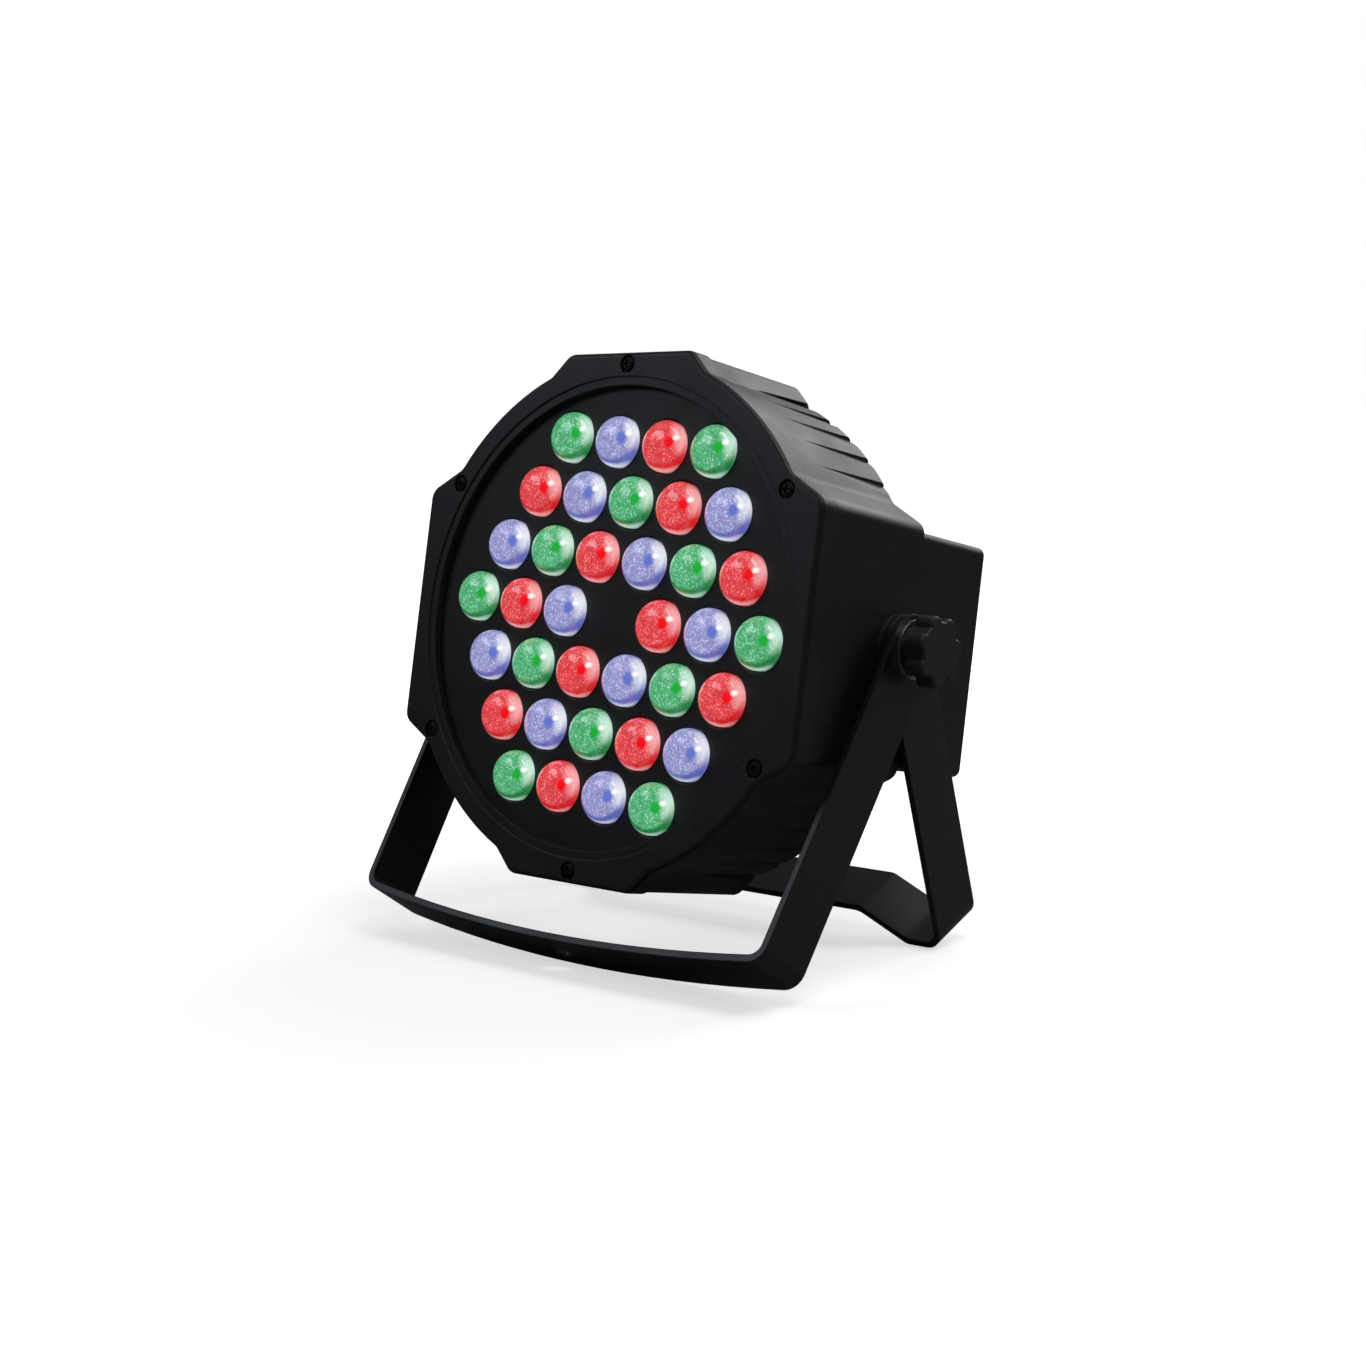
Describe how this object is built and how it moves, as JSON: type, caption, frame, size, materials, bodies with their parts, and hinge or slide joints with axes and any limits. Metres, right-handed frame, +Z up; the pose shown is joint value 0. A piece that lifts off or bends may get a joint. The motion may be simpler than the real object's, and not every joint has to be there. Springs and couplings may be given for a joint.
{
  "type": "par can light",
  "caption": "Flat LED par stage light: round black head with a square rear box, coloured lens array, tilting on two U brackets clamped by side knobs",
  "frame": {"origin": "on the floor, under the middle of the object's box, as it stands on its two splayed brackets", "axes": "+Z up, the lenses look along -Y and slightly up, +X to the right as seen from the front"},
  "size_m": [0.239, 0.1584, 0.2314],
  "materials": {
    "housing_plastic": "satin moulded black ABS, fine spark texture",
    "bezel_plastic": "satin moulded black ABS",
    "plate_plastic": "satin black sheet",
    "bracket_steel": "black powder-coated flat steel",
    "knob_plastic": "moulded dark grey nylon",
    "red_lens": "clear acrylic collimator lit red",
    "green_lens": "clear acrylic collimator lit green",
    "blue_lens": "clear acrylic collimator lit blue",
    "led_red": "LED package, red",
    "led_green": "LED package, green",
    "led_blue": "LED package, blue",
    "black_steel": "black oxide steel screws",
    "zinc_steel": "zinc-plated steel",
    "brass_contact": "machined contact brass",
    "aluminium": "extruded aluminium",
    "circuit_board": "green solder mask",
    "white_board": "white solder mask on aluminium",
    "black_rubber": "soft black seal",
    "nylon": "black nylon",
    "connector_plastic": "moulded black connector plastic",
    "panel_film": "printed polycarbonate sheet",
    "window": "dark red acrylic",
    "button_plastic": "moulded black button caps",
    "winding": "taped transformer winding"
  },
  "bodies": {
    "head": {"main_housing": "housing_plastic", "front_bezel": "bezel_plastic", "lens_gasket": "black_rubber", "bezel_screws": "black_steel", "lens_plate": "plate_plastic", "red_lenses": "red_lens", "green_lenses": "green_lens", "blue_lenses": "blue_lens", "lens_holders": "nylon", "red_leds": "led_red", "green_leds": "led_green", "blue_leds": "led_blue", "led_board": "white_board", "heat_sink": "aluminium", "heat_sink_screws": "zinc_steel", "rear_cover": "housing_plastic", "rear_cover_screws": "black_steel", "control_panel": "panel_film", "display_window": "window", "display_module": "connector_plastic", "control_board": "circuit_board", "control_board_posts": "nylon", "button_switches": "connector_plastic", "microphone": "zinc_steel", "power_inlet": "connector_plastic", "inlet_blades": "brass_contact", "fuse_holder": "connector_plastic", "fuse_cap": "connector_plastic", "fuse": "zinc_steel", "dmx_input": "connector_plastic", "dmx_input_pins": "brass_contact", "dmx_output": "connector_plastic", "connector_screws": "zinc_steel", "power_supply_board": "circuit_board", "power_supply_posts": "nylon", "transformer": "winding", "capacitors": "connector_plastic", "safety_eye": "zinc_steel", "safety_eye_nuts": "zinc_steel", "left_threaded_insert": "zinc_steel", "right_threaded_insert": "zinc_steel", "left_friction_washer": "nylon", "right_friction_washer": "nylon"},
    "outer_bracket": {"outer_bracket": "bracket_steel"},
    "inner_bracket": {"inner_bracket": "bracket_steel"},
    "right_washer": {"right_knob_washer": "zinc_steel"},
    "left_washer": {"left_knob_washer": "zinc_steel"},
    "right_knob": {"right_knob": "knob_plastic", "right_stud": "zinc_steel"},
    "left_knob": {"left_knob": "knob_plastic", "left_stud": "zinc_steel"},
    "menu_button": {"menu_button": "button_plastic"},
    "up_button": {"up_button": "button_plastic"},
    "down_button": {"down_button": "button_plastic"},
    "enter_button": {"enter_button": "button_plastic"}
  },
  "joints": [
    {"name": "outer_bracket_swing", "type": "hinge", "parent": "head", "child": "outer_bracket", "pos_m": [0, 0.01133, 0.12089], "axis": [1, 0, 0], "continuous": true},
    {"name": "inner_bracket_swing", "type": "hinge", "parent": "head", "child": "inner_bracket", "pos_m": [0, 0.01133, 0.12089], "axis": [1, 0, 0], "range_deg": [-45, 160]},
    {"name": "right_knob_travel", "type": "slide", "parent": "head", "child": "right_washer", "axis": [1, 0, 0], "range_m": [0, 0.0026]},
    {"name": "right_knob_turn", "type": "hinge", "parent": "right_washer", "child": "right_knob", "pos_m": [0, 0.01133, 0.12089], "axis": [1, 0, 0], "range_deg": [0, 720]},
    {"name": "left_knob_travel", "type": "slide", "parent": "head", "child": "left_washer", "axis": [-1, 0, 0], "range_m": [0, 0.0026]},
    {"name": "left_knob_turn", "type": "hinge", "parent": "left_washer", "child": "left_knob", "pos_m": [0, 0.01133, 0.12089], "axis": [-1, 0, 0], "range_deg": [0, 720]},
    {"name": "menu_button_press", "type": "slide", "parent": "head", "child": "menu_button", "axis": [0, -0.9787, 0.2054], "range_m": [0, 0.0012], "stiffness_N_per_m": 400, "springref_m": -0.0006},
    {"name": "up_button_press", "type": "slide", "parent": "head", "child": "up_button", "axis": [0, -0.9787, 0.2054], "range_m": [0, 0.0012], "stiffness_N_per_m": 400, "springref_m": -0.0006},
    {"name": "down_button_press", "type": "slide", "parent": "head", "child": "down_button", "axis": [0, -0.9787, 0.2054], "range_m": [0, 0.0012], "stiffness_N_per_m": 400, "springref_m": -0.0006},
    {"name": "enter_button_press", "type": "slide", "parent": "head", "child": "enter_button", "axis": [0, -0.9787, 0.2054], "range_m": [0, 0.0012], "stiffness_N_per_m": 400, "springref_m": -0.0006}
  ],
  "couplings": [
    {"joint": "right_knob_travel", "follows": "right_knob_turn", "m_per_rad": 0.00019894},
    {"joint": "left_knob_travel", "follows": "left_knob_turn", "m_per_rad": 0.00019894}
  ]
}
